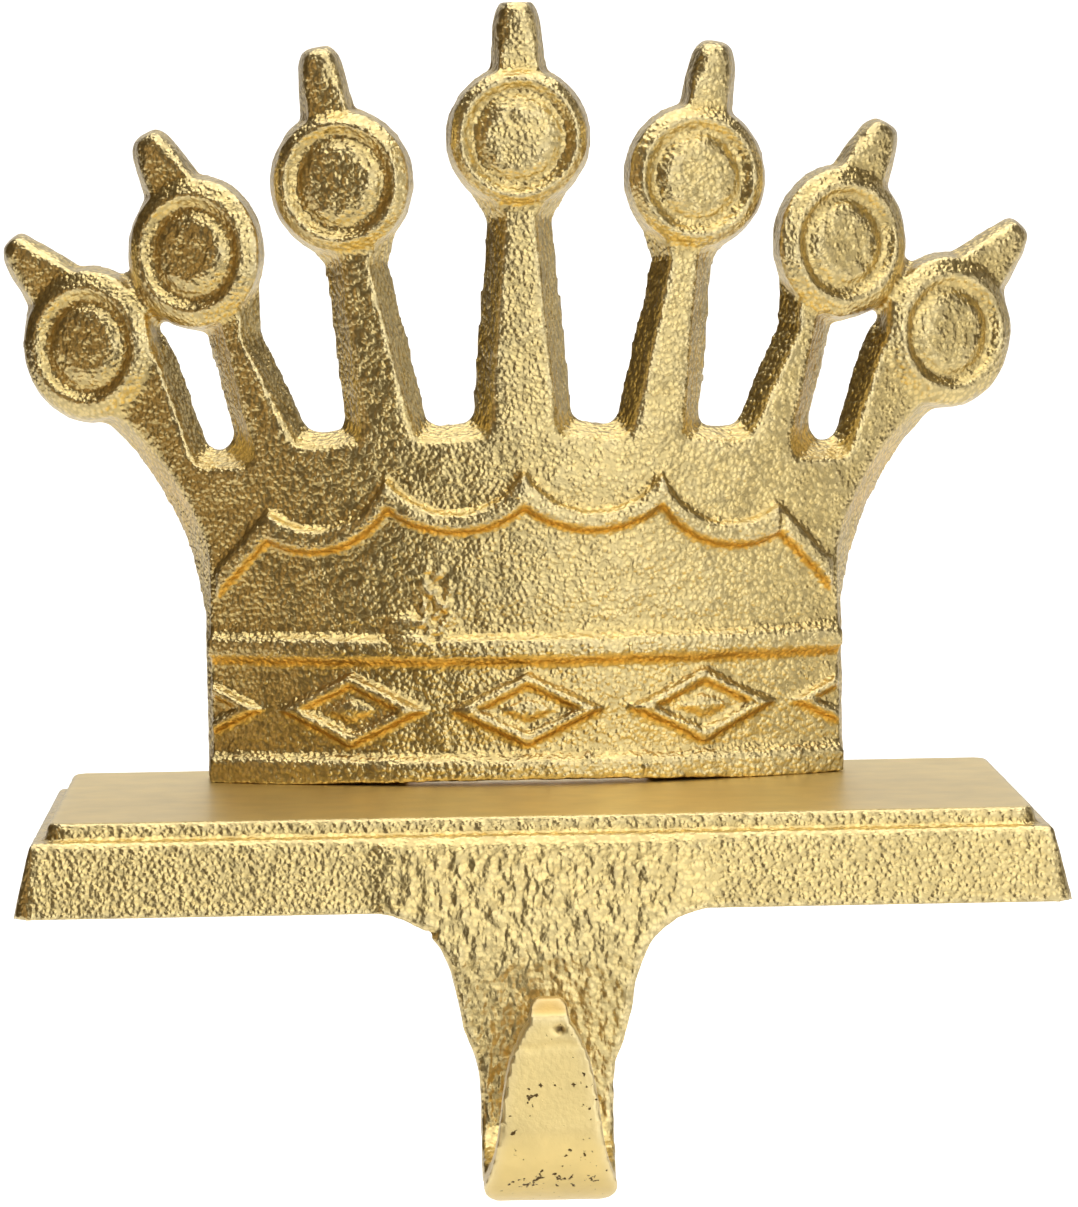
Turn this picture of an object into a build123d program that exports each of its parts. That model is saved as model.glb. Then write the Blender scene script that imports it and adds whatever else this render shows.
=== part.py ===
from build123d import *
from math import asin, cos, degrees, radians, sin, sqrt, tan
import os

# Mantel stocking holder: a cast plate with a J hook at its front edge, and a curved cast crown
# screwed down on it. The origin is the middle of the plate's underside, where it rests on the
# mantel shelf. +X is to the right, -Y is the front with the hook, +Z is up. Millimetres.

# Plate
plate_width = 127.0
plate_depth = 70.0
plate_corner = 2.5
slab_height = 8.9
slab_draft = 13.8
slab_round = 0.9
ledge = 1.7
plateau_height = 2.15
plateau_draft = 8.0
plateau_chamfer = 0.35
plate_top = slab_height + plateau_height

# Shank and hook
strap_thickness = 4.6
shank_proud = 0.9
blend_proud = 0.35
shank_root_half = 19.5
shank_root_slope = 0.2
shank_neck_half = 12.1
shank_neck_drop = 5.0
shank_mid_half = 9.5
shank_mid_drop = 15.0
hook_half = 7.9
hook_gap = 12.0
hook_drop = 33.5
hook_corner = 2.6
tongue_root_half = 6.3
tongue_root_drop = 25.5
tongue_mid_half = 4.9
tongue_mid_drop = 16.5
tip_half = 2.2
tip_neck_drop = 10.6
tip_drop = 8.2
tip_thickness = 3.0
tip_corner = 0.8

# Crown wall, seen from above an arc with a straight wing at each end
crown_side = -0.75
crown_setback = 29.0
crown_front = plate_depth / 2 - crown_setback
wall = 5.0
arc_radius = 85.0
wing_angle = 28.0
wing_length = 32.0
wall_draft = 25.0
draft_spare = 0.5
outline_depth = 4.6
foot_gap = 0.6
foot_gap_half = 28.0

# Crown outline: heights above its foot, and distances from its middle as seen from the front,
# measured outline_depth behind the wall's front
body_half = 40.7
field_half = 40.0
flare_start = 20.0
flare_mid = (45.5, 36.0)
flare_end = (55.8, 47.2)
crown_height = 98.2
finial_reaches = [16.9, 16.8, 16.4, 17.5]
disc_sides = [0.0, 22.3, 41.1, 55.1]
disc_drops = [0.0, 5.3, 14.0, 25.7]
disc_top = crown_height - finial_reaches[0]
disc_places = [(side, disc_top - drop) for side, drop in zip(disc_sides, disc_drops)]
neck_drop = 10.4
neck_flare_drop = 5.5
neck_flare = 2.6
stem_necks = [(-4.0, 4.0), (16.8, 24.4), (33.0, 39.8)]
stem_roots = [(-6.2, 6.2), (12.1, 22.3), (27.3, 36.2)]
end_neck = 45.0
end_root = 39.9
end_rise = 1.6
valley_heights = [45.1, 44.3, 42.3]
valley_round = 2.0
valley_reaches = [11.6, 11.6, 6.0]
field_top = 39.5
root_height = 35.0
web_width = 8.0
web_length = 13.0

# Discs and the finials above them
disc_radii = [9.2, 9.5, 10.1, 10.2]
disc_taper = 0.7
disc_rise = 0.2
disc_back_relief = 0.3
crest_radius = 7.35
crest_height = 1.6
groove_radius = 5.9
groove_height = 0.35
boss_radius = 4.7
boss_height = 1.55
finial_angles = [0.0, 10.0, 25.0, 41.0]
finial_inner = [3.6, 3.8, 5.4, 6.0]
finial_outer = 4.0
finial_base = 8.0
finial_shoulder = 15.0
finial_shoulder_half = 3.1
finial_tip_half = 2.0
finial_inset = 1.4
finial_top_inset = 0.7

# Relief on the wall
relief = 1.1
relief_sink = 1.3
relief_draft = 28.0
plinth_height = 4.1
plinth_slope = 1.3
bead_bottom = 15.0
bead_top = 19.3
bead_slope = 1.2
swag_upper = [(0.0, 39.6), (9.0, 34.6), (17.3, 39.0), (25.3, 32.7), (32.2, 34.8)]
swag_lower = [(0.0, 34.7), (9.0, 31.6), (17.3, 34.6), (25.5, 29.2), (32.2, 30.6)]
swag_end_upper = (39.2, 27.1)
swag_end_lower = (39.2, 23.0)
swag_slope = 0.7
diamond_pitch = 22.2
diamond_height = 9.5
diamond_half = 9.6
diamond_rise = 4.9
end_diamond_tip = 33.2
pocket_half = 5.9
pocket_rise = 2.8
pocket_depth = 0.95
lozenge_half = 3.6
lozenge_rise = 1.5
lozenge_height = 0.7

# Screws, and the lugs behind the crown that they go into
screw_spread = 21.0
screw_radius = 2.5
screw_length = 16.0
screw_point = 0.8
thread_clearance = 0.05
hole_clearance = 0.3
head_radius = 4.6
head_height = 3.0
head_chamfer = 1.0
head_recess = 4.2
recess_clearance = 0.5
cross_length = 5.0
cross_width = 1.1
cross_depth = 1.6
lug_radius = 5.6
lug_height = 14.0
lug_offset = 4.2
lug_root = 3.1
lug_chamfer = 1.5
tap_depth = 12.0


def closed_face(*edges):
    return make_face(Curve() + list(edges))


def both_sides(shape):
    return shape + mirror(shape, Plane.YZ)


# Base casting
def plate_solid():
    slab = extrude(RectangleRounded(plate_width, plate_depth, plate_corner), slab_height, taper=slab_draft)
    slab = fillet(slab.edges().group_by(Axis.Z)[-1], slab_round)
    inset = 2 * (slab_height * tan(radians(slab_draft)) + ledge)
    outline = RectangleRounded(plate_width - inset, plate_depth - inset, plate_corner)
    plateau = extrude(Pos(0, 0, slab_height) * outline, plateau_height, taper=plateau_draft)
    plateau = chamfer(plateau.edges().group_by(Axis.Z)[-1], plateau_chamfer)
    return slab + plateau


shank_front = -plate_depth / 2 - shank_proud
shank_back = shank_front + strap_thickness
tongue_back = shank_front - hook_gap
tongue_front = tongue_back - strap_thickness
bend_middle = (shank_front + tongue_back) / 2
bend_outer = hook_gap / 2 + strap_thickness
bend_height = bend_outer - hook_drop


def hook_section():
    # The strap from the side: down from the plate's front face, round the bend and up the tongue
    blend_height = slab_height - slab_round
    blend_front = -plate_depth / 2 + blend_height * tan(radians(slab_draft)) - blend_proud
    return closed_face(
        Polyline((shank_front, bend_height), (shank_front, -shank_neck_drop),
                 (-plate_depth / 2 - blend_proud, 0), (blend_front, blend_height),
                 (shank_back, blend_height), (shank_back, bend_height)),
        ThreePointArc((shank_back, bend_height), (bend_middle, -hook_drop), (tongue_front, bend_height)),
        Polyline((tongue_front, bend_height), (tongue_front, -tip_drop),
                 (tongue_front + tip_thickness, -tip_drop), (tongue_back, -tongue_mid_drop),
                 (tongue_back, bend_height)),
        ThreePointArc((tongue_back, bend_height), (bend_middle, bend_height - hook_gap / 2),
                      (shank_front, bend_height)),
    )


def shank_outline():
    foot = (hook_half, bend_height)
    corner = (hook_half, hook_corner - hook_drop)
    corner_end = (hook_half - hook_corner, -hook_drop)
    half = closed_face(
        Polyline((0, slab_height), (shank_root_half, slab_height), (shank_root_half, 0)),
        Spline((shank_root_half, 0), (shank_neck_half, -shank_neck_drop), (shank_mid_half, -shank_mid_drop),
               foot, tangents=[(-1, -shank_root_slope), (0, -1)]),
        Line(foot, corner),
        RadiusArc(corner, corner_end, hook_corner),
        Polyline(corner_end, (0, -hook_drop), (0, slab_height)),
    )
    return both_sides(half)


def tongue_outline():
    corner = (hook_half, hook_corner - hook_drop)
    corner_end = (hook_half - hook_corner, -hook_drop)
    half = closed_face(
        RadiusArc(corner, corner_end, hook_corner),
        Spline(corner, (tongue_root_half, -tongue_root_drop), (tongue_mid_half, -tongue_mid_drop),
               (tip_half, -tip_neck_drop)),
        Polyline((tip_half, -tip_neck_drop), (tip_half, -tip_drop - tip_corner),
                 (tip_half - tip_corner, -tip_drop), (0, -tip_drop), (0, -hook_drop), corner_end),
    )
    return both_sides(half)


def hook_solid():
    strap = extrude(Plane.YZ * hook_section(), plate_width / 2, both=True)
    bend_plane = Plane.XZ.offset(-bend_middle)
    rear = extrude(bend_plane * shank_outline(), bend_middle)
    front = extrude(bend_plane * tongue_outline(), 2 * bend_outer)
    return (strap & rear) + (strap & front)


# Crown casting, modelled with its foot at height 0 and its front middle at the origin
wing_start = arc_radius * sin(radians(wing_angle))


def surface_place(x):
    # Depth of the crown's front, and the way it faces, at a distance from the middle
    if abs(x) < wing_start:
        return arc_radius - sqrt(arc_radius ** 2 - x ** 2), degrees(asin(x / arc_radius))
    start_depth = arc_radius * (1 - cos(radians(wing_angle)))
    return start_depth + (x - wing_start) * tan(radians(wing_angle)), wing_angle


def facing_plane(x, height):
    depth, facing = surface_place(x)
    turn = radians(facing)
    return Plane(origin=(x, depth, height), x_dir=(cos(turn), sin(turn), 0), z_dir=(sin(turn), -cos(turn), 0))


def sight_plane(x, height, depth):
    # Faces out at x, some way behind the crown's front, with its origin at x as seen from the front
    facing = radians(surface_place(x)[1])
    return facing_plane(x, height).offset(-depth) * Pos(depth * tan(facing), 0)


def local_points(points, x, height):
    # Points as seen from the front, in the plane that faces out at x
    facing = radians(surface_place(x)[1])
    return [((px - x) / cos(facing), pz - height) for px, pz in points]


def inset_points(points, distance):
    # The corners of an outline that runs anticlockwise, moved inwards
    moved = []
    for index, point in enumerate(points):
        corner = Vector(*point)
        before = (corner - Vector(*points[index - 1])).normalized()
        after = (Vector(*points[(index + 1) % len(points)]) - corner).normalized()
        inward = Vector(-before.Y - after.Y, before.X + after.X)
        moved.append(corner + inward * (distance / (1 + before.dot(after))))
    return [(corner.X, corner.Y) for corner in moved]


def wall_solid():
    turn = radians(wing_angle)
    wing = Vector(cos(turn), sin(turn)) * wing_length
    inner = arc_radius - wall
    front = Vector(arc_radius * sin(turn), arc_radius * (1 - cos(turn)))
    back = Vector(inner * sin(turn), arc_radius - inner * cos(turn))
    right = [front, front + wing, back + wing, back]
    left = [Vector(-p.X, p.Y) for p in right]
    plan = closed_face(
        ThreePointArc(left[0], (0, 0), right[0]),
        Polyline(*right),
        ThreePointArc(right[3], (0, wall), left[3]),
        Polyline(*reversed(left)),
    )
    return extrude(plan, crown_height)


def polygon_face(points):
    return make_face(Polyline(*points, close=True))


def rounded_at(face, points, radius):
    corners = [face.vertices().sort_by_distance((px, pz, 0))[0] for px, pz in points]
    return fillet(corners, radius)


def drafted(points, x, height, outline_face=polygon_face):
    # A slab of the wall, drawn as seen from the front, with sides that lean in towards its front
    facing = radians(surface_place(x)[1])

    def section(depth):
        lean = (outline_depth - depth) / cos(facing) * tan(radians(wall_draft))
        outline = outline_face(local_points(inset_points(points, lean), x, height))
        return sight_plane(x, height, depth) * outline

    return loft([section(wall + draft_spare), section(-draft_spare)], ruled=True)


def stem_solid(index):
    x, height = disc_places[index]
    (inner_neck, outer_neck), (inner_root, outer_root) = stem_necks[index], stem_roots[index]
    inner_valley = max(index - 1, 0)
    inner_floor, outer_floor = valley_heights[inner_valley], valley_heights[index]
    inner_end = inner_root - valley_reaches[inner_valley]
    outer_end = outer_root + valley_reaches[index]
    neck_height = height - neck_drop
    lean = Vector((inner_neck + outer_neck) / 2 - x, -neck_drop).normalized()
    across = Vector(-lean.Y, lean.X) * ((outer_neck - inner_neck) / 2 + neck_flare)
    shoulder = Vector(x, height) + lean * neck_flare_drop
    inner_shoulder, outer_shoulder = shoulder - across, shoulder + across
    outline = [
        (inner_shoulder.X, inner_shoulder.Y), (inner_neck, neck_height),
        (inner_root, inner_floor), (inner_end, inner_floor), (inner_end, root_height),
        (outer_end, root_height), (outer_end, outer_floor), (outer_root, outer_floor),
        (outer_neck, neck_height), (outer_shoulder.X, outer_shoulder.Y),
    ]

    def stem_face(points):
        return rounded_at(polygon_face(points), [points[2], points[7]], valley_round)

    return drafted(outline, x, height, stem_face)


def end_solid():
    # The outermost stem, with the crown's side below it down to the foot
    x, height = disc_places[3]
    floor = valley_heights[2]
    inner_side = stem_roots[2][0]
    below_foot = -2 * wall
    outline = [
        flare_end, (x, height + end_rise), (end_neck, height + end_rise), (end_root, floor),
        (inner_side, floor), (inner_side, below_foot), (body_half, below_foot), (body_half, flare_start),
        flare_mid,
    ]

    def end_face(points):
        face = closed_face(Polyline(*points[:8]), ThreePointArc(points[7], points[8], points[0]))
        return rounded_at(face, [points[3]], valley_round)

    return drafted(outline, x, height, end_face)


def web_solid():
    # Joins the two outermost discs above the closed hole between their stems
    lower, upper = Vector(*disc_places[3]), Vector(*disc_places[2])
    run = (upper - lower).normalized()
    along, across = run * web_length / 2, Vector(-run.Y, run.X) * web_width / 2
    middle = (lower + upper) / 2
    corners = [middle - along - across, middle + along - across]
    corners += [middle + along + across, middle - along + across]
    return drafted([(corner.X, corner.Y) for corner in corners], *disc_places[3])


def finial_solid(index):
    # A blunt finger above a disc, narrower at the front than at the back
    def finger_face(depth, inset, top_inset):
        half, tip = finial_shoulder_half - inset, finial_tip_half - inset / 2
        shoulder, top = finial_shoulder - top_inset, finial_reaches[index] - top_inset
        inner, outer = (inset - finial_inner[index], finial_base), (finial_outer - inset, finial_base)
        finger = polygon_face([
            (0, 0), outer, (half, shoulder), (tip, top), (-tip, top), (-half, shoulder), inner])
        return sight_plane(*disc_places[index], depth) * Rot(0, 0, -finial_angles[index]) * finger

    back = finger_face(wall + draft_spare, 0, 0)
    front = finger_face(-draft_spare, finial_inset, finial_top_inset)
    return loft([back, front], ruled=True)


def disc_solid(index):
    # A thick disc with a ring and a boss raised on its front
    front_plane = facing_plane(*disc_places[index])
    front_radius = disc_radii[index] - disc_taper
    back = sight_plane(*disc_places[index], wall - disc_back_relief) * Circle(disc_radii[index])
    front = front_plane.offset(disc_rise) * Circle(front_radius)
    profile = polygon_face([
        (0, disc_rise), (front_radius, disc_rise), (crest_radius, crest_height),
        (groove_radius, groove_height), (boss_radius, boss_height), (0, boss_height)])
    return loft([back, front], ruled=True) + front_plane.location * revolve(Plane.XZ * profile, Axis.Z)


def raised(outline, x, rise=relief, draft=relief_draft):
    # Relief that stands on the wall, with sloping sides
    surface = facing_plane(x, 0) * outline
    return extrude(surface, rise, taper=draft) + extrude(surface, -relief_sink)


def band_solid(profile):
    # A moulding that runs round the arc
    half_turn = degrees(asin(field_half / arc_radius))
    section = Rot(0, 0, -90 - half_turn) * (Plane.XZ * polygon_face(profile))
    return Pos(0, arc_radius, 0) * revolve(section, Axis.Z, revolution_arc=2 * half_turn)


def bands():
    top, sunk = arc_radius + relief, arc_radius - relief_sink
    spread = (relief + relief_sink) / relief
    plinth = [(sunk, 0), (top, 0), (top, plinth_height - plinth_slope),
              (sunk, plinth_height - plinth_slope + spread * plinth_slope)]
    bead = [(sunk, bead_bottom + bead_slope - spread * bead_slope), (top, bead_bottom + bead_slope),
            (top, bead_top - bead_slope), (sunk, bead_top - bead_slope + spread * bead_slope)]
    return [band_solid(plinth), band_solid(bead)]


def swag_solid(first):
    # One hanging loop of the scalloped moulding
    x = swag_upper[first + 1][0]

    def loop_face(slope):
        upper = local_points([(px, pz - slope) for px, pz in swag_upper[first:first + 3]], x, 0)
        lower = local_points([(px, pz + slope) for px, pz in swag_lower[first:first + 3]], x, 0)
        return closed_face(ThreePointArc(*upper), Line(upper[2], lower[2]), ThreePointArc(*reversed(lower)),
                           Line(lower[0], upper[0]))

    surface = facing_plane(x, 0)
    foot = surface * loop_face(0)
    top = surface.offset(relief) * loop_face(swag_slope)
    return loft([foot, top], ruled=True) + extrude(foot, -relief_sink)


def swag_end_solid():
    x = (swag_upper[4][0] + swag_end_upper[0]) / 2
    points = local_points([swag_upper[4], swag_end_upper, swag_end_lower, swag_lower[4]], x, 0)
    return raised(polygon_face(points), x)


def lozenge_face(half, rise):
    return polygon_face([(half, 0), (0, rise), (-half, 0), (0, -rise)])


def diamond_solid(x):
    # A raised diamond frame round a sunk field with a small lozenge in it
    lift = Pos(0, diamond_height)
    floor = relief - pocket_depth
    frame = raised(lift * lozenge_face(diamond_half, diamond_rise), x)
    sunk_plane = facing_plane(x, 0).offset(floor)
    pocket = extrude(sunk_plane * lift * lozenge_face(pocket_half, pocket_rise), relief, taper=-relief_draft)
    return frame - pocket + raised(lift * lozenge_face(lozenge_half, lozenge_rise), x, lozenge_height)


def end_diamond_solid():
    # The half diamond that runs into the crown's side
    slope = diamond_rise / diamond_half
    frame_width = diamond_half - pocket_half

    def wedge(tip, end):
        rise = (end - tip) * slope
        points = [(tip, diamond_height), (end, diamond_height + rise), (end, diamond_height - rise)]
        return polygon_face(local_points(points, x, 0))

    x = (end_diamond_tip + field_half) / 2
    frame = raised(wedge(end_diamond_tip, field_half), x)
    sunk_plane = facing_plane(x, 0).offset(relief - pocket_depth)
    pocket = extrude(sunk_plane * wedge(end_diamond_tip + frame_width, field_half + relief), relief,
                     taper=-relief_draft)
    return frame - pocket


lug_middle = arc_radius - sqrt((arc_radius - wall) ** 2 - screw_spread ** 2) + lug_offset


def lug_solid():
    run = lug_offset + lug_root
    lug = extrude(Circle(lug_radius) + Pos(0, -run / 2) * Rectangle(2 * lug_radius, run), lug_height)
    lug = chamfer(lug.edges().group_by(Axis.Z)[-1], lug_chamfer)
    return Pos(screw_spread, lug_middle, 0) * lug


def crown_solid():
    field = extrude(Rectangle(2 * field_half, 2 * arc_radius), field_top)
    sides = [stem_solid(1), stem_solid(2), end_solid(), web_solid()] + [finial_solid(i) for i in (1, 2, 3)]
    sides += [mirror(side, Plane.YZ) for side in sides]
    blank = field + [stem_solid(0), finial_solid(0)] + sides
    gap_radius = (foot_gap_half ** 2 + foot_gap ** 2) / (2 * foot_gap)
    gap = Pos(0, 0, foot_gap - gap_radius) * Rot(90, 0, 0) * Cylinder(gap_radius, 2 * arc_radius)
    parts = [swag_solid(0), swag_solid(2), swag_end_solid()]
    parts += [end_diamond_solid(), diamond_solid(diamond_pitch)]
    parts += [disc_solid(i) for i in (1, 2, 3)]
    parts += [mirror(piece, Plane.YZ) for piece in parts]
    crown = (blank & wall_solid()) + bands() + [disc_solid(0), diamond_solid(0)] + parts
    lug = lug_solid()
    tap = Pos(screw_spread, lug_middle, tap_depth / 2) * Cylinder(screw_radius + thread_clearance, tap_depth)
    return crown - gap + [lug, mirror(lug, Plane.YZ)] - [tap, mirror(tap, Plane.YZ)]


# Screws, upright with the seat of the head at height 0
def screw_solid():
    shank = Pos(0, 0, screw_length / 2) * Cylinder(screw_radius, screw_length)
    shank = chamfer(shank.edges().group_by(Axis.Z)[-1], screw_point)
    head = Pos(0, 0, -head_height / 2) * Cylinder(head_radius, head_height)
    head = chamfer(head.edges().group_by(Axis.Z)[0], head_chamfer)
    slot = Pos(0, 0, cross_depth / 2 - head_height) * Box(cross_length, cross_width, cross_depth)
    return shank + head - slot - Rot(0, 0, 90) * slot


crown_plan = Pos(crown_side, crown_front, 0)
crown_place = Pos(0, 0, plate_top) * crown_plan
screw_places = [crown_plan * Pos(side * screw_spread, lug_middle, 0) for side in (-1, 1)]

base = plate_solid() + hook_solid()
for place in screw_places:
    base -= place * Pos(0, 0, plate_top / 2) * Cylinder(screw_radius + hole_clearance, plate_top)
    base -= place * Pos(0, 0, head_recess / 2) * Cylinder(head_radius + recess_clearance, head_recess)

crown = crown_place * crown_solid()
screws = Compound([place * Pos(0, 0, head_recess) * screw_solid() for place in screw_places])

os.makedirs("parts", exist_ok=True)
export_step(base, "parts/base_with_hook.step")
export_step(crown, "parts/crown.step")
export_step(screws, "parts/crown_screws.step")
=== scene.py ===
import bpy
import math
import numpy as np
from mathutils import Matrix, Vector, noise


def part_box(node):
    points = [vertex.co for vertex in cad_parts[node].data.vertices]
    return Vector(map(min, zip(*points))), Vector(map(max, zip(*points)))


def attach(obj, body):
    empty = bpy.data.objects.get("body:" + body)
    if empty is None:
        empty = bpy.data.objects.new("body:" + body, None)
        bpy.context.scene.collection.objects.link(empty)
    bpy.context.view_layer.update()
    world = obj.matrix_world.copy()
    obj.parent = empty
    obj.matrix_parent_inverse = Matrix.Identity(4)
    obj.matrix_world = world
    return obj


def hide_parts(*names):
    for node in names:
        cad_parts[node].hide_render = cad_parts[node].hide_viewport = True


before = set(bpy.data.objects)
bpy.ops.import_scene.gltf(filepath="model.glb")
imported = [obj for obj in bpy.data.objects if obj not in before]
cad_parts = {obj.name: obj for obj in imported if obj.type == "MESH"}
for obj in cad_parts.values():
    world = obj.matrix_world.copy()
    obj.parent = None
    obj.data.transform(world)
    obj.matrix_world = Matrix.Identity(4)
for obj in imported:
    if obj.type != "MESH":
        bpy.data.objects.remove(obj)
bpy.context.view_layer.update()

print("stage: frame loaded")

mmPerMetre = 1000
softPull = 0.5  # share of the way that a point moves to its neighbours' middle
backPull = -0.52  # the way back out, so that a rounded edge hardly shrinks
blobCore = 0.3  # share of a blob's reach that keeps its full height


def linearColour(hexText):  # sRGB hex to linear RGBA
    parts = [int(hexText[i:i + 2], 16) / 255 for i in (1, 3, 5)]
    return [p / 12.92 if p <= 0.04045 else ((p + 0.055) / 1.055) ** 2.4 for p in parts] + [1.0]


def freshTree(owner):  # an empty node tree for a material or the world
    owner.use_nodes = True
    owner.node_tree.nodes.clear()
    return owner.node_tree


# one node with its settings, its sockets' values and its links
def addNode(tree, kind, settings=None, values=None, links=None):
    node = tree.nodes.new(kind)
    for key, value in (settings or {}).items():
        setattr(node, key, value)
    for key, value in (values or {}).items():
        node.inputs[key].default_value = value
    for key, source in (links or {}).items():
        tree.links.new(source, node.inputs[key])
    return node


def addObject(name, data):
    thing = bpy.data.objects.new(name, data)
    bpy.context.scene.collection.objects.link(thing)
    return thing


def dress(piece, material):
    piece.data.materials.clear()
    piece.data.materials.append(material)


# mesh work shared by the two castings
def bakeModifiers(piece):
    graph = bpy.context.evaluated_depsgraph_get()
    mesh = bpy.data.meshes.new_from_object(piece.evaluated_get(graph))
    old = piece.data
    piece.modifiers.clear()
    piece.data = mesh
    bpy.data.meshes.remove(old)


def triangleCount(mesh):
    return sum(len(p.vertices) - 2 for p in mesh.polygons)


def readPoints(mesh):  # vertex places in millimetres
    flat = np.empty(len(mesh.vertices) * 3)
    mesh.vertices.foreach_get("co", flat)
    return flat.reshape(-1, 3) * mmPerMetre


def writePoints(mesh, points):
    mesh.vertices.foreach_set("co", (points / mmPerMetre).ravel())
    mesh.update()


def readNormals(mesh):
    flat = np.empty(len(mesh.vertices) * 3)
    mesh.vertices.foreach_get("normal", flat)
    return flat.reshape(-1, 3)


def relaxed(mesh, points, pulls):  # each pull moves every point towards its neighbours' middle, or away
    flat = np.empty(len(mesh.edges) * 2, int)
    mesh.edges.foreach_get("vertices", flat)
    a, b = flat.reshape(-1, 2).T
    size = len(points)
    count = np.bincount(a, minlength=size) + np.bincount(b, minlength=size)
    for pull in pulls:
        total = np.stack([np.bincount(a, points[b, k], size) + np.bincount(b, points[a, k], size)
                          for k in range(3)], 1)
        points = points + pull * (total / count[:, None] - points)
    return points


def wearEdges(mesh, points, rounds):  # rounds the edges and hardly shrinks
    return relaxed(mesh, points, [softPull, backPull] * rounds)


def softened(mesh, points, share, rounds):  # rounder where the share is 1, as it was where it is 0
    return points + share[:, None] * (relaxed(mesh, points, [softPull] * rounds) - points)


def noiseAt(points, size):  # Perlin noise from -1 to 1, size in mm, one number or one for each axis
    return np.array([noise.noise(Vector(p)) for p in points / np.array(size)])


def ramp(values, low, high):  # smooth step from 0 at low to 1 at high
    t = np.clip((values - low) / (high - low), 0, 1)
    return t * t * (3 - 2 * t)


def blob(points, middle, reach):  # 1 at the middle, 0 past the reach, each in mm along X, Y, Z
    away = np.sqrt((((points - np.array(middle)) / np.array(reach)) ** 2).sum(1))
    return 1 - ramp(away, blobCore, 1.0)


def storeShare(mesh, name, values):  # what the paint reads at each point, from 0 to 1
    layer = mesh.attributes.new(name, "FLOAT", "POINT")
    layer.data.foreach_set("value", values.astype(np.float32))


def castSkin(nodeName, pieceName, skin):  # a closed skin over the CAD solid
    piece = addObject(pieceName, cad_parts[nodeName].data.copy())
    remesh = piece.modifiers.new("skin", "REMESH")
    remesh.mode = "VOXEL"
    remesh.voxel_size = skin["voxel"] / mmPerMetre
    bakeModifiers(piece)
    return piece


def finishSkin(piece, nodeName, skin, push):  # push is how far out each point goes, in mm
    mesh = piece.data
    low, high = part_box(nodeName)
    points = readPoints(mesh) + readNormals(mesh) * push[:, None]
    writePoints(mesh, np.clip(points, np.array(low) * mmPerMetre, np.array(high) * mmPerMetre))
    faces = triangleCount(mesh)
    if faces > skin["triangles"]:
        thin = piece.modifiers.new("thin", "DECIMATE")
        thin.ratio = skin["triangles"] / faces
        weld = piece.modifiers.new("weld", "WELD")  # thinning can leave edges of no length
        weld.merge_threshold = skin["weld"] / mmPerMetre
        bakeModifiers(piece)
    mesh = piece.data
    mesh.polygons.foreach_set("use_smooth", np.ones(len(mesh.polygons), bool))
    points = readPoints(mesh)
    rounded = relaxed(mesh, points, [softPull] * skin["hollowRounds"])
    depth = ((rounded - points) * readNormals(mesh)).sum(1)  # above 0 in a hollow, below 0 on a ridge
    # the hollow share turns hollows a deeper orange in the paint: painted shade from light bounced between
    # gold faces
    storeShare(mesh, "hollowShade", np.clip(depth / skin["hollowDepth"], 0, 1))
    storeShare(mesh, "ridge", np.clip(-depth / skin["hollowDepth"], 0, 1))


# base casting: plate, shank and hook, all in mm
baseSkin = {
    "voxel": 0.42, "softRounds": 6, "triangles": 190000, "weld": 0.001,
    "hollowRounds": 14, "hollowDepth": 0.5,
    "frontGrain": (1.2, 1.2, 1.9), "frontDepth": 0.06,  # sandy drafted sides of the plate
    "bottomSlope": (0.6, 0.9), "bottomHeight": 0.6,  # the underside stays flat
    "topHeight": 11.05, "topFade": (0.35, 0.1), "topWave": 14.0, "topDepth": 0.03,
    "slabHeight": 8.9, "riserFade": (0.3, 0.2),
    "riserGrain": 1.5, "riserDepth": 0.08, "riserShift": 40,  # broken edge of the raised top
    "shankGrain": (1.1, 1.1, 2.0), "shankDepth": 0.14, "shankShift": 90,  # lumps run down the shank
    "shankSides": (15, 21), "shankTop": (5.5, 9.0), "shankFront": (30, 33),
    "blendEdge": 19.5, "blendReach": (2.0, 4.0), "blendRounds": 60,  # no step from shank to plate
    "blendFront": (30, 31), "blendFoot": (0.3, 1.5), "blendTop": (6.5, 7.6),
    "hookMiddle": -41.9, "tongueFade": (-2, 3), "tongueCalm": 0.7,  # y of the bend's middle
    "tipBevel": (-10.5, -8.2), "tipSetback": 1.5, "tipFront": -50.0, "tipFade": 1.0,  # worn top of the tip
    "tipLine": 0.22, "tipLineHalf": 0.5,  # the bevel's lower edge stands up a little
    "creaseHeight": -13.7, "creaseHalf": 0.45, "creaseDepth": 0.14, "creaseWander": 0.4, "creaseWave": 3.0,
    "chip": ((1.2, -52.0, -11.7), (0.9, 3.0, 0.7), 0.4),  # middle, reach and depth
    "notch": ((-13.6, -33.0, -2.4), (1.3, 6.0, 0.8), 0.6),  # flaw on the shank's left edge
    "paint": {  # where the base's paint changes
        "tongueFade": (-1, 2), "shankSides": (13, 22), "shankTop": (5.0, 9.0), "shankFront": (30, 33),
        "topSlope": (0.85, 0.97), "topFade": (0.4, 0.1),
        "pitClusters": [((-4.7, -22.6), (1.3, 2.6)), ((-0.4, -30.0), (5.6, 1.9)), ((4.6, -28.4), (1.1, 4.2)),
                        ((2.2, -18.0), (0.9, 0.9)), ((-2.5, -18.5), (2.2, 3.0))],  # x and z, then reach
        "pitFade": (0.5, 1.1), "pitElsewhere": 0.25,
        "chipGrain": 0.6, "chipGain": 1.6, "chipFloor": 0.5,  # bare spot with a ragged edge
        "tipFade": (0.2, 0.8), "tipShadeDark": 0.3, "tipShadeTint": 0.6,  # painted shade: the set-back bevel at the tip's top is painted darker and deeper orange
    },
}


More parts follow.
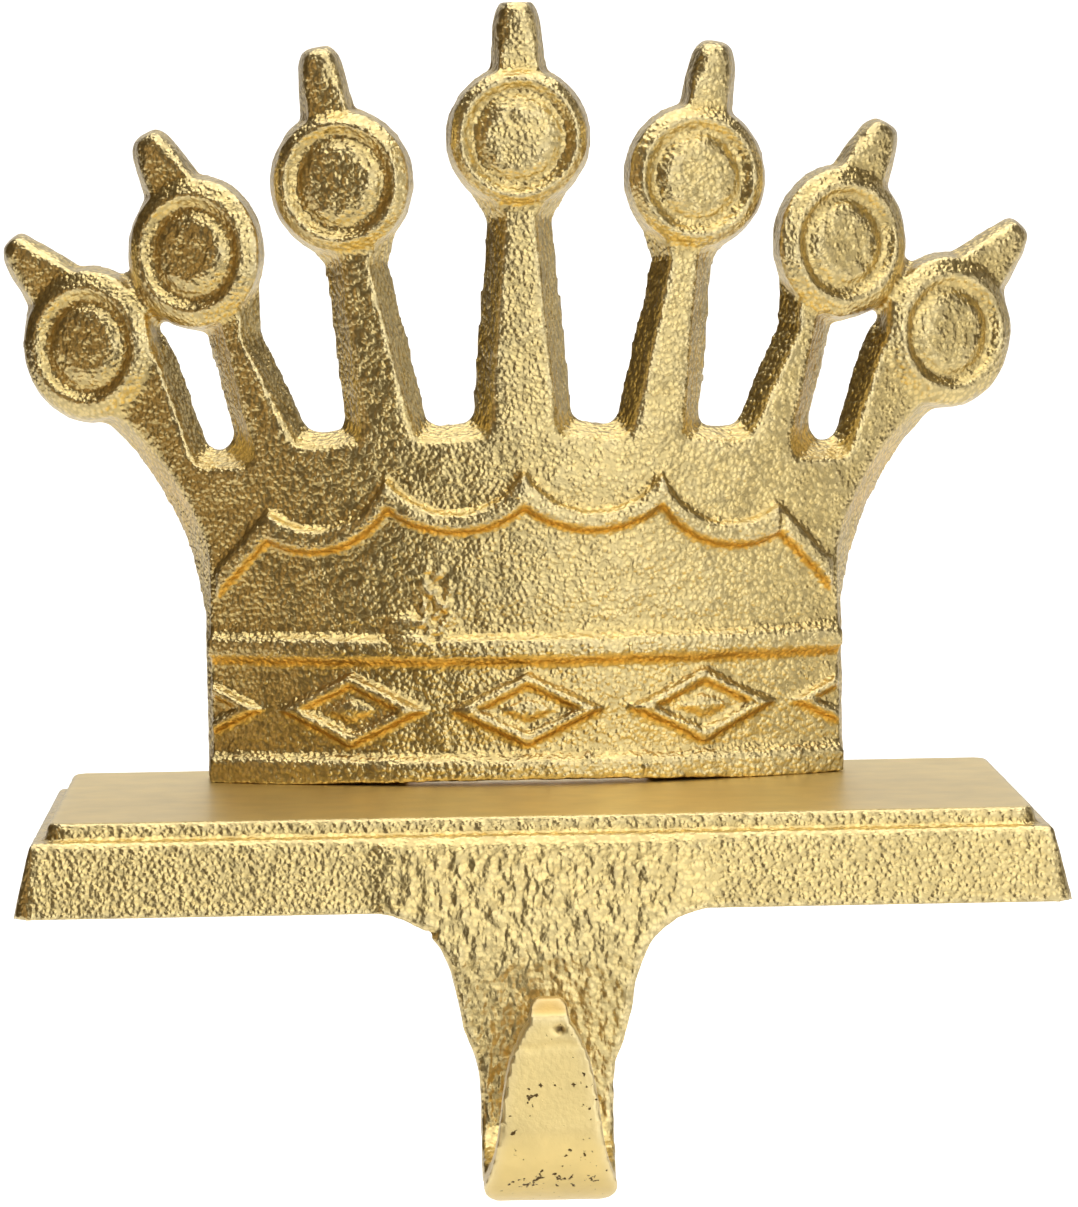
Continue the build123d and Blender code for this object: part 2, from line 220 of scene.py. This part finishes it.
def shankShare(points, s):  # 1 on the shank's front, fading into the plate
    x, y, z = points.T
    sides = 1 - ramp(np.abs(x), *s["shankSides"])
    return sides * (1 - ramp(z, *s["shankTop"])) * ramp(-y, *s["shankFront"])


def makeBase():
    s = baseSkin
    bevelFoot, bevelTop = s["tipBevel"]
    piece = castSkin("base_with_hook", "baseCasting", s)
    mesh = piece.data
    points = readPoints(mesh)
    tip = ramp(s["tipFront"] - points[:, 1], 0, s["tipFade"]) * (points[:, 2] - bevelFoot).clip(0)
    points[:, 1] += s["tipSetback"] * tip / (bevelTop - bevelFoot)
    points = wearEdges(mesh, points, s["softRounds"])
    x, y, z = points.T
    beside = 1 - ramp(np.abs(np.abs(x) - s["blendEdge"]), *s["blendReach"])
    beside *= ramp(-y, *s["blendFront"]) * ramp(z, *s["blendFoot"]) * (1 - ramp(z, *s["blendTop"]))
    writePoints(mesh, softened(mesh, points, beside, s["blendRounds"]))
    points, normals = readPoints(mesh), readNormals(mesh)
    y, z = points[:, 1], points[:, 2]
    bottom = ramp(-normals[:, 2], *s["bottomSlope"]) * (np.abs(z) < s["bottomHeight"])
    top = ramp(z, s["topHeight"] - s["topFade"][0], s["topHeight"] - s["topFade"][1])
    riser = ramp(z, s["slabHeight"] - s["riserFade"][0], s["slabHeight"] + s["riserFade"][1]) * (1 - top)
    tongue = ramp(s["hookMiddle"] - y, *s["tongueFade"])
    push = s["frontDepth"] * noiseAt(points, s["frontGrain"]) * (1 - top) * (1 - bottom)
    push *= 1 - s["tongueCalm"] * tongue
    push += s["riserDepth"] * noiseAt(points + s["riserShift"], s["riserGrain"]) * riser
    lumps = s["shankDepth"] * noiseAt(points + s["shankShift"], s["shankGrain"])
    push += lumps * shankShare(points, s) * (1 - tongue)
    push += s["topDepth"] * noiseAt(points, s["topWave"]) * (1 - bottom)
    crease = s["creaseHeight"] + s["creaseWander"] * noiseAt(points, s["creaseWave"])
    push -= s["creaseDepth"] * (1 - ramp(np.abs(z - crease), 0, s["creaseHalf"])) * tongue
    push += s["tipLine"] * (1 - ramp(np.abs(z - bevelFoot), 0, s["tipLineHalf"])) * tongue
    for middle, reach, depth in (s["chip"], s["notch"]):
        push -= depth * blob(points, middle, reach)
    finishSkin(piece, "base_with_hook", s, push)
    p = s["paint"]
    mesh = piece.data
    points, normals = readPoints(mesh), readNormals(mesh)
    x, y, z = points.T
    tongue = ramp(s["hookMiddle"] - y, *p["tongueFade"])
    top = ramp(z, s["topHeight"] - p["topFade"][0], s["topHeight"] - p["topFade"][1])
    storeShare(mesh, "coarse", shankShare(points, p) * (1 - tongue))
    storeShare(mesh, "smooth", np.maximum(ramp(normals[:, 2], *p["topSlope"]) * top, tongue))
    pitted = np.full(len(points), p["pitElsewhere"])
    for middle, reach in p["pitClusters"]:
        away = np.hypot((x - middle[0]) / reach[0], (z - middle[1]) / reach[1])
        pitted = np.maximum(pitted, 1 - ramp(away, *p["pitFade"]))
    storeShare(mesh, "pitted", pitted * tongue)
    stainAndShade = blob(points, *s["chip"][:2])
    stainAndShade = np.clip(p["chipGain"] * stainAndShade + stainAndShade * noiseAt(points, p["chipGrain"]) - p["chipFloor"], 0, 1)
    # painted shade: the set-back top of the tip is painted darker and deeper orange
    tipShade = tongue * ramp(z, bevelFoot + p["tipFade"][0], bevelFoot + p["tipFade"][1])
    storeShare(mesh, "stainAndShade", np.maximum(stainAndShade, p["tipShadeDark"] * tipShade))
    storeShare(mesh, "paintedShade", p["tipShadeTint"] * tipShade)
    return piece


# crown casting, in mm and degrees
crownSkin = {
    "voxel": 0.36, "softRounds": 28, "triangles": 190000, "weld": 0.001,
    "hollowRounds": 14, "hollowDepth": 0.45,
    "underSlope": (0.12, 0.65), "underFade": (42, 58),  # painted shade: a deeper orange on what faces down, low on the crown
    "side": -0.75, "front": 6.0, "foot": 11.05, "arc": 85.0, "wingAngle": 28.0,  # where the CAD crown stands
    "discSides": [0.0, 22.3, 41.1, 55.1], "discHeights": [81.3, 76.0, 67.3, 55.6],
    "finialAngles": [0.0, 10.0, 25.0, 41.0], "finialBase": (9.5, 12.5), "finialHalf": 6.5, "finialEnd": 25,
    "finialRounds": 30, "finialSwell": 0.22, "finialStretch": 0.5,
    "webMiddle": (44.5, 20.0, 68.4), "webReach": (4.5, 14.0, 4.5), "webRounds": 40,  # top of closed holes
    "valleys": (50, 53, 58, 61), "valleyRounds": 14,  # the floors between the stems are worn rounder
    "bossShoulder": ([3.0, 4.0, 4.7, 5.3, 5.9], [0, -0.15, -0.45, -0.3, 0]),  # radius and drop, worn domes
    "bossFace": (-1.5, -0.5), "bossRadius": 5.2, "bossFade": 1,
    "bossGrain": 1.0, "bossDepth": 0.16, "bossShift": 50,
    "grain": 1.3, "grainDepth": 0.07,
    "lump": 3.4, "lumpDepth": 0.14, "lumpShift": 20,  # the mould's own unevenness along edges
    "scarMiddle": (-12.3, 7.0, 33.3), "scarReach": (3.2, 6.0, 6.6),  # crumbs of sand that stuck to the wall
    "scarGrain": 1.0, "scarDepth": 1.0, "scarRise": 0.3, "scarShift": 70,
    "gapMiddle": (-15.4, 7.0, 30.9), "gapReach": (4.2, 6.0, 2.6), "gapFill": 0.85,  # no step below the scar
    "pimples": [((6.8, 5.0, 14.7), 0.7), ((14.0, 6.0, 13.0), 0.6)], "pimpleRise": 0.35, "pimpleDepth": 3,
}


def makeCrown():
    s = crownSkin
    piece = castSkin("crown", "crownCasting", s)
    mesh = piece.data
    points = readPoints(mesh)
    finial = np.zeros(len(points))
    stretch = np.zeros_like(points)
    boss = np.zeros(len(points))
    wingStart = s["arc"] * math.sin(math.radians(s["wingAngle"]))
    for side, height, angle in zip(s["discSides"], s["discHeights"], s["finialAngles"]):
        for hand in ((1,) if side == 0 else (-1, 1)):
            turn = math.asin(min(side, wingStart) / s["arc"])
            depth = s["arc"] * (1 - math.cos(turn)) + max(side - wingStart, 0) * math.tan(turn)
            middle = np.array((s["side"] + hand * side, s["front"] + depth, s["foot"] + height))
            out = np.array((hand * math.sin(turn), -math.cos(turn), 0))
            level = np.array((math.cos(turn), hand * math.sin(turn), 0))
            away = points - middle
            across, rise = away @ level, away[:, 2]
            radius = np.hypot(across, rise)
            face = ramp(away @ out, *s["bossFace"])
            points += out * (face * np.interp(radius, *s["bossShoulder"]))[:, None]
            inside = 1 - ramp(radius, s["bossRadius"] - s["bossFade"], s["bossRadius"])
            boss = np.maximum(boss, face * inside)
            lean = hand * math.radians(angle)
            along = across * math.sin(lean) + rise * math.cos(lean)
            aside = np.abs(across * math.cos(lean) - rise * math.sin(lean))
            tip = ramp(along, *s["finialBase"]) * (aside < s["finialHalf"]) * (along < s["finialEnd"])
            finial = np.maximum(finial, tip)
            outward = level * math.sin(lean) + np.array((0, 0, math.cos(lean)))
            stretch += (tip * s["finialStretch"])[:, None] * outward
    points = wearEdges(mesh, points, s["softRounds"])
    points = softened(mesh, points, finial, s["finialRounds"]) + stretch
    start, full, fade, end = s["valleys"]
    valley = ramp(points[:, 2], start, full) * (1 - ramp(points[:, 2], fade, end))
    points = softened(mesh, points, valley, s["valleyRounds"])
    mirrored = np.abs(points - (s["side"], 0, 0))  # both halves are alike
    points = softened(mesh, points, blob(mirrored, s["webMiddle"], s["webReach"]), s["webRounds"])
    writePoints(mesh, points)
    push = s["grainDepth"] * noiseAt(points, s["grain"])
    push += s["lumpDepth"] * noiseAt(points + s["lumpShift"], s["lump"])
    bossNoise = noiseAt(points + s["bossShift"], s["bossGrain"])
    push += s["finialSwell"] * finial + s["bossDepth"] * boss * bossNoise
    scar = blob(points, s["scarMiddle"], s["scarReach"])
    push += scar * (s["scarRise"] + s["scarDepth"] * noiseAt(points + s["scarShift"], s["scarGrain"]))
    push += s["gapFill"] * blob(points, s["gapMiddle"], s["gapReach"])
    for middle, size in s["pimples"]:
        push += s["pimpleRise"] * blob(points, middle, (size, s["pimpleDepth"], size))
    finishSkin(piece, "crown", s, push)
    mesh = piece.data
    # painted shade: faces turned down, low on the crown, take the deeper orange
    facingDown = ramp(-readNormals(mesh)[:, 2], *s["underSlope"])
    storeShare(mesh, "paintedShade", facingDown * (1 - ramp(readPoints(mesh)[:, 2], *s["underFade"])))
    for name in ("coarse", "smooth", "pitted", "stainAndShade"):
        storeShare(mesh, name, np.zeros(len(mesh.vertices)))
    return piece


# gold metallic enamel sprayed on sand-cast iron: the cast grain shows through the paint, so the metal flake
# breaks up into small glints; hollows and faces turned down are painted a deeper orange as painted shade,
# and ridges look paler; sizes in mm
goldPaint = {
    "gold": "#ead18b", "deep": "#eabd64", "pale": "#f3e2b0", "pit": "#5c4826",
    "metallic": 0.95, "roughness": 0.28, "smoothRoughness": 0.38, "coat": 0.2, "coatRoughness": 0.3,
    "grain": 0.60, "grainHeight": 0.15, "grainDetail": 1.5, "grainRoughness": 0.45,  # cast grain
    "pebble": 0.66, "pebbleHeight": 0.10, "pebbleRim": 0.8,  # rounded sand grains under the paint
    "creviceReach": (0.35, 0.75), "crevice": 0.70,  # painted shade, darker between the pebbles
    "lump": (0.85, 0.85, 1.1), "lumpHeight": 0.25,  # long lumps on the shank
    "flake": 0.22, "flakeHeight": 0.012, "flakeDetail": 1.0,  # drawn coarser than life so that it shows
    "mottle": 5.0, "mottleDetail": 3.0, "mottleReach": (0.3, 0.7), "mottleShade": (0.9, 1.04),
    "pitSize": 0.9, "pitSpread": 0.12, "pitDetail": 2.0, "pitRoughness": 0.6,
    "pitEdge": (0.71, 0.77), "pitFrom": 0.2, "pitDepth": 0.12,
    "smoothKeep": 0.12,  # how much of the grain is left on the plate's top and the tongue
    "hollowTint": 0.3,  # how much of the deep colour, painted shade, lies in plain hollows
}


def perMetre(size):  # noise scale for a feature of this size in mm
    return mmPerMetre / size


def goldEnamelOnCastIron():
    s = goldPaint
    material = bpy.data.materials.new("goldEnamelOnCastIron")
    tree = freshTree(material)
    place = addNode(tree, "ShaderNodeTexCoord").outputs["Object"]
    shares = {name: addNode(tree, "ShaderNodeAttribute", {"attribute_name": name}).outputs["Fac"]
              for name in ("hollowShade", "ridge", "paintedShade", "coarse", "smooth", "pitted", "stainAndShade")}
    fine = {"Detail": s["grainDetail"], "Roughness": s["grainRoughness"]}
    grain = addNode(tree, "ShaderNodeTexNoise", {}, {"Scale": perMetre(s["grain"]), **fine},
                    {"Vector": place}).outputs["Fac"]
    pebble = addNode(tree, "ShaderNodeTexVoronoi", {"feature": "F1"}, {"Scale": perMetre(s["pebble"])},
                     {"Vector": place}).outputs["Distance"]
    pebble = addNode(tree, "ShaderNodeMapRange", {"interpolation_type": "SMOOTHSTEP"},
                     {"From Max": s["pebbleRim"], "To Max": s["pebbleRim"]},
                     {"Value": pebble}).outputs["Result"]  # round tops and soft valleys
    stretch = addNode(tree, "ShaderNodeMapping", {}, {"Scale": [perMetre(size) for size in s["lump"]]},
                      {"Vector": place}).outputs["Vector"]
    lump = addNode(tree, "ShaderNodeTexNoise", {}, {"Scale": 1.0, **fine},
                   {"Vector": stretch}).outputs["Fac"]
    flake = addNode(tree, "ShaderNodeTexNoise", {},
                    {"Scale": perMetre(s["flake"]), "Detail": s["flakeDetail"]},
                    {"Vector": place}).outputs["Fac"]
    mottle = addNode(tree, "ShaderNodeTexNoise", {},
                     {"Scale": perMetre(s["mottle"]), "Detail": s["mottleDetail"]},
                     {"Vector": place}).outputs["Fac"]
    # pits: only on the tongue, and more where the clusters are
    pits = addNode(tree, "ShaderNodeTexNoise", {},
                   {"Scale": perMetre(s["pitSize"]), "Detail": s["pitDetail"],
                    "Roughness": s["pitRoughness"]},
                   {"Vector": place}).outputs["Fac"]
    pits = addNode(tree, "ShaderNodeMath", {"operation": "MULTIPLY_ADD"}, {1: s["pitSpread"]},
                   {0: shares["pitted"], 2: pits}).outputs[0]
    pits = addNode(tree, "ShaderNodeMapRange", {"interpolation_type": "SMOOTHSTEP"},
                   {"From Min": s["pitEdge"][0], "From Max": s["pitEdge"][1]},
                   {"Value": pits}).outputs["Result"]
    onTongue = addNode(tree, "ShaderNodeMapRange", {}, {"From Max": s["pitFrom"]},
                       {"Value": shares["pitted"]}).outputs["Result"]
    pits = addNode(tree, "ShaderNodeMath", {"operation": "MULTIPLY"}, {}, {0: pits, 1: onTongue}).outputs[0]
    # the chip's stain and the painted shade on the tip's top both take the pit colour
    pits = addNode(tree, "ShaderNodeMath", {"operation": "MAXIMUM"}, {},
                   {0: pits, 1: shares["stainAndShade"]}).outputs[0]
    # height: cast grain, turning to long lumps on the shank and fading on the smooth faces
    grainRise = addNode(tree, "ShaderNodeMath", {"operation": "MULTIPLY"}, {1: s["grainHeight"]},
                        {0: grain}).outputs[0]
    grainRise = addNode(tree, "ShaderNodeMath", {"operation": "MULTIPLY_ADD"}, {1: -s["pebbleHeight"]},
                        {0: pebble, 2: grainRise}).outputs[0]
    lumpRise = addNode(tree, "ShaderNodeMath", {"operation": "MULTIPLY"}, {1: s["lumpHeight"]},
                       {0: lump}).outputs[0]
    rise = addNode(tree, "ShaderNodeMix", {"data_type": "FLOAT"}, {},
                   {0: shares["coarse"], 2: grainRise, 3: lumpRise}).outputs[0]
    keep = addNode(tree, "ShaderNodeMapRange", {}, {"To Min": 1.0, "To Max": s["smoothKeep"]},
                   {"Value": shares["smooth"]}).outputs["Result"]
    rise = addNode(tree, "ShaderNodeMath", {"operation": "MULTIPLY"}, {}, {0: rise, 1: keep}).outputs[0]
    for layer, height in ((flake, s["flakeHeight"]), (pits, -s["pitDepth"])):
        rise = addNode(tree, "ShaderNodeMath", {"operation": "MULTIPLY_ADD"}, {1: height},
                       {0: layer, 2: rise}).outputs[0]
    bump = addNode(tree, "ShaderNodeBump", {}, {"Strength": 1.0, "Distance": 1 / mmPerMetre},
                   {"Height": rise}).outputs["Normal"]
    # colour: painted shade makes it deep in hollows and underneath and darker between pebbles; pale on
    # ridges, darker in pits
    hollowShade = addNode(tree, "ShaderNodeMath", {"operation": "MULTIPLY"}, {1: s["hollowTint"]},
                     {0: shares["hollowShade"]}).outputs[0]
    low = addNode(tree, "ShaderNodeMath", {"operation": "MAXIMUM"}, {},
                  {0: hollowShade, 1: shares["paintedShade"]}).outputs[0]
    tone = addNode(tree, "ShaderNodeMix", {"data_type": "RGBA"},
                   {6: linearColour(s["gold"]), 7: linearColour(s["deep"])}, {0: low}).outputs[2]
    tone = addNode(tree, "ShaderNodeMix", {"data_type": "RGBA"}, {7: linearColour(s["pale"])},
                   {0: shares["ridge"], 6: tone}).outputs[2]
    shade = addNode(tree, "ShaderNodeMapRange", {},
                    {"From Min": s["mottleReach"][0], "From Max": s["mottleReach"][1],
                     "To Min": s["mottleShade"][0], "To Max": s["mottleShade"][1]},
                    {"Value": mottle}).outputs["Result"]
    # painted shade: darker between the pebbles, left out on the smooth faces
    crevice = addNode(tree, "ShaderNodeMapRange", {},
                      {"From Min": s["creviceReach"][0], "From Max": s["creviceReach"][1],
                       "To Min": 1.0, "To Max": s["crevice"]}, {"Value": pebble}).outputs["Result"]
    crevice = addNode(tree, "ShaderNodeMath", {"operation": "MAXIMUM"}, {},
                      {0: crevice, 1: shares["smooth"]}).outputs[0]
    shade = addNode(tree, "ShaderNodeMath", {"operation": "MULTIPLY"}, {}, {0: shade, 1: crevice}).outputs[0]
    tone = addNode(tree, "ShaderNodeMix", {"data_type": "RGBA", "blend_type": "MULTIPLY"}, {0: 1.0},
                   {6: tone, 7: shade}).outputs[2]
    tone = addNode(tree, "ShaderNodeMix", {"data_type": "RGBA"}, {7: linearColour(s["pit"])},
                   {0: pits, 6: tone}).outputs[2]
    rough = addNode(tree, "ShaderNodeMapRange", {},
                    {"To Min": s["roughness"], "To Max": s["smoothRoughness"]},
                    {"Value": shares["smooth"]}).outputs["Result"]
    shader = addNode(tree, "ShaderNodeBsdfPrincipled", {},
                     {"Metallic": s["metallic"], "Coat Weight": s["coat"],
                      "Coat Roughness": s["coatRoughness"]},
                     {"Base Color": tone, "Roughness": rough, "Normal": bump})
    addNode(tree, "ShaderNodeOutputMaterial", {}, {}, {"Surface": shader.outputs[0]})
    return material


# bright zinc plate on turned steel: cool grey with a faint blue-white bloom; sizes in mm
zincPlate = {"light": "#c9cccd", "dark": "#8f9496", "roughness": 0.34,
             "bloom": 1.6, "bloomDetail": 4.0, "bloomStrength": 0.3, "bloomHeight": 0.1}


def zincPlatedSteel():
    s = zincPlate
    material = bpy.data.materials.new("zincPlatedSteel")
    tree = freshTree(material)
    place = addNode(tree, "ShaderNodeTexCoord").outputs["Object"]
    bloom = addNode(tree, "ShaderNodeTexNoise", {},
                    {"Scale": perMetre(s["bloom"]), "Detail": s["bloomDetail"]},
                    {"Vector": place}).outputs["Fac"]
    tone = addNode(tree, "ShaderNodeMix", {"data_type": "RGBA"},
                   {6: linearColour(s["dark"]), 7: linearColour(s["light"])}, {0: bloom}).outputs[2]
    bump = addNode(tree, "ShaderNodeBump", {},
                   {"Strength": s["bloomStrength"], "Distance": s["bloomHeight"] / mmPerMetre},
                   {"Height": bloom}).outputs["Normal"]
    shader = addNode(tree, "ShaderNodeBsdfPrincipled", {}, {"Metallic": 1.0, "Roughness": s["roughness"]},
                     {"Base Color": tone, "Normal": bump})
    addNode(tree, "ShaderNodeOutputMaterial", {}, {}, {"Surface": shader.outputs[0]})
    return material


goldEnamel = goldEnamelOnCastIron()
for maker, nodeName in ((makeBase, "base_with_hook"), (makeCrown, "crown")):
    casting = maker()
    dress(casting, goldEnamel)
    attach(casting, "root")
    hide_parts(nodeName)
    print("stage:", casting.name, triangleCount(casting.data), "triangles")
dress(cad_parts["crown_screws"], zincPlatedSteel())
print("stage: screws dressed")

# camera, solved from the photo's plate edges
view = {"place": (-0.01629, -0.7599, 0.09002), "yaw": 0.0224, "pitch": 0.0732, "roll": -0.0157,
        "focal": 6109.61, "photoWidth": 1078, "sensor": 36}  # focal in the photo's pixels


def makeCamera():
    s = view
    forward = Vector((math.sin(s["yaw"]) * math.cos(s["pitch"]), math.cos(s["yaw"]) * math.cos(s["pitch"]),
                      -math.sin(s["pitch"])))
    level = Vector((math.cos(s["yaw"]), -math.sin(s["yaw"]), 0))
    upright = level.cross(forward)
    right = math.cos(s["roll"]) * level + math.sin(s["roll"]) * upright
    up = math.cos(s["roll"]) * upright - math.sin(s["roll"]) * level
    data = bpy.data.cameras.new("camera")
    data.sensor_fit = "HORIZONTAL"
    data.sensor_width = s["sensor"]
    data.lens = s["focal"] / s["photoWidth"] * s["sensor"]
    camera = addObject("camera", data)
    turn = Matrix((right, up, -forward)).transposed()
    camera.matrix_world = Matrix.Translation(s["place"]) @ turn.to_4x4()
    bpy.context.scene.camera = camera


# studio: softboxes, floor and a pale surround, in metres
lamps = [
    {"name": "keySoftbox", "place": (0.34, -1.10, 0.06), "aim": (0, 0, 0.04), "size": (1.05, 0.8),
     "watts": 4.3, "colour": "#f1f5ff"},
    {"name": "frontSoftbox", "place": (0.40, -1.05, 0.65), "aim": (0, 0, 0.04), "size": (1.3, 0.45),
     "watts": 2.6, "colour": "#ffffff"},
    {"name": "sideSoftbox", "place": (1.00, -0.45, 0.15), "aim": (0, 0, 0.04), "size": (0.45, 0.9),
     "watts": 1.2, "colour": "#ffffff"},
    {"name": "rimSoftbox", "place": (1.05, 0.80, 0.20), "aim": (0, 0, 0.05), "size": (0.7, 0.9),
     "watts": 1.1, "colour": "#ffffff"},
    {"name": "fillSoftbox", "place": (-1.00, -0.55, 0.15), "aim": (0, 0, 0.04), "size": (0.5, 0.9),
     "watts": 0.7, "colour": "#ffd9a0"},
    {"name": "topSoftbox", "place": (0, 0, 1.1), "aim": (0, 0, 0), "size": (1.6, 2.0),
     "watts": 18.5, "colour": "#ffffff"},
]
surround = {"floorHeight": -0.135, "front": -0.35, "width": 1.7, "wallTop": 3.0,
            "curveStart": 0.9, "curveRadius": 0.7, "curveStep": 6,  # degrees
            "paper": "#f4f3f1", "paperRoughness": 0.9, "white": "#ffffff",
            "seenLift": 0.8, "glossLift": 0.25,  # what the camera and the gloss see of the paper
            "roomColour": "#ffd07a", "roomLight": 0.07}


def makeLamps():
    for s in lamps:
        data = bpy.data.lights.new(s["name"], "AREA")
        data.shape = "RECTANGLE"
        data.size, data.size_y = s["size"]
        data.energy = s["watts"]
        data.color = linearColour(s["colour"])[:3]
        lamp = addObject(s["name"], data)
        lamp.location = s["place"]
        lamp.rotation_euler = (Vector(s["aim"]) - Vector(s["place"])).to_track_quat("-Z", "Y").to_euler()


def palePaper():  # seamless paper, matt and nearly white
    s = surround
    material = bpy.data.materials.new("palePaperFloor")
    tree = freshTree(material)
    rays = addNode(tree, "ShaderNodeLightPath").outputs
    gloss = addNode(tree, "ShaderNodeMath", {"operation": "MAXIMUM"}, {},
                    {0: rays["Is Glossy Ray"], 1: rays["Is Transmission Ray"]}).outputs[0]
    lift = addNode(tree, "ShaderNodeMath", {"operation": "MULTIPLY"}, {1: s["glossLift"]},
                   {0: gloss}).outputs[0]
    lift = addNode(tree, "ShaderNodeMath", {"operation": "MULTIPLY_ADD"}, {1: s["seenLift"]},
                   {0: rays["Is Camera Ray"], 2: lift}).outputs[0]
    paper = addNode(tree, "ShaderNodeBsdfPrincipled", {},
                    {"Base Color": linearColour(s["paper"]), "Roughness": s["paperRoughness"],
                     "Emission Color": linearColour(s["white"])}, {"Emission Strength": lift})
    addNode(tree, "ShaderNodeOutputMaterial", {}, {}, {"Surface": paper.outputs[0]})
    return material


def makeSurround():
    s = surround
    half, radius, foot = s["width"] / 2, s["curveRadius"], s["floorHeight"]
    turns = [math.radians(a) for a in range(0, 91, s["curveStep"])]
    curve = [(s["curveStart"] + radius * math.sin(a), foot + radius * (1 - math.cos(a))) for a in turns]
    profile = [(s["front"], foot)] + curve + [(s["curveStart"] + radius, s["wallTop"])]
    points = [(side * half, y, z) for y, z in profile for side in (-1, 1)]
    mesh = bpy.data.meshes.new("paperSweep")
    mesh.from_pydata(points, [], [(i, i + 1, i + 3, i + 2) for i in range(0, len(points) - 2, 2)])
    mesh.polygons.foreach_set("use_smooth", [True] * len(mesh.polygons))
    floor = addObject("paperSweep", mesh)
    dress(floor, palePaper())
    world = bpy.data.worlds.new("paleSurround")
    bpy.context.scene.world = world
    tree = freshTree(world)
    rays = addNode(tree, "ShaderNodeLightPath").outputs
    room = addNode(tree, "ShaderNodeBackground", {},
                   {"Color": linearColour(s["roomColour"]), "Strength": s["roomLight"]}).outputs[0]
    seen = addNode(tree, "ShaderNodeBackground", {},
                   {"Color": linearColour(s["white"]), "Strength": 1.0}).outputs[0]
    light = addNode(tree, "ShaderNodeMixShader", {}, {}, {0: rays["Is Camera Ray"], 1: room, 2: seen})
    addNode(tree, "ShaderNodeOutputWorld", {}, {}, {"Surface": light.outputs[0]})


makeCamera()
makeLamps()
makeSurround()
bpy.context.scene.view_settings.view_transform = "Standard"
print("stage: camera and studio ready")
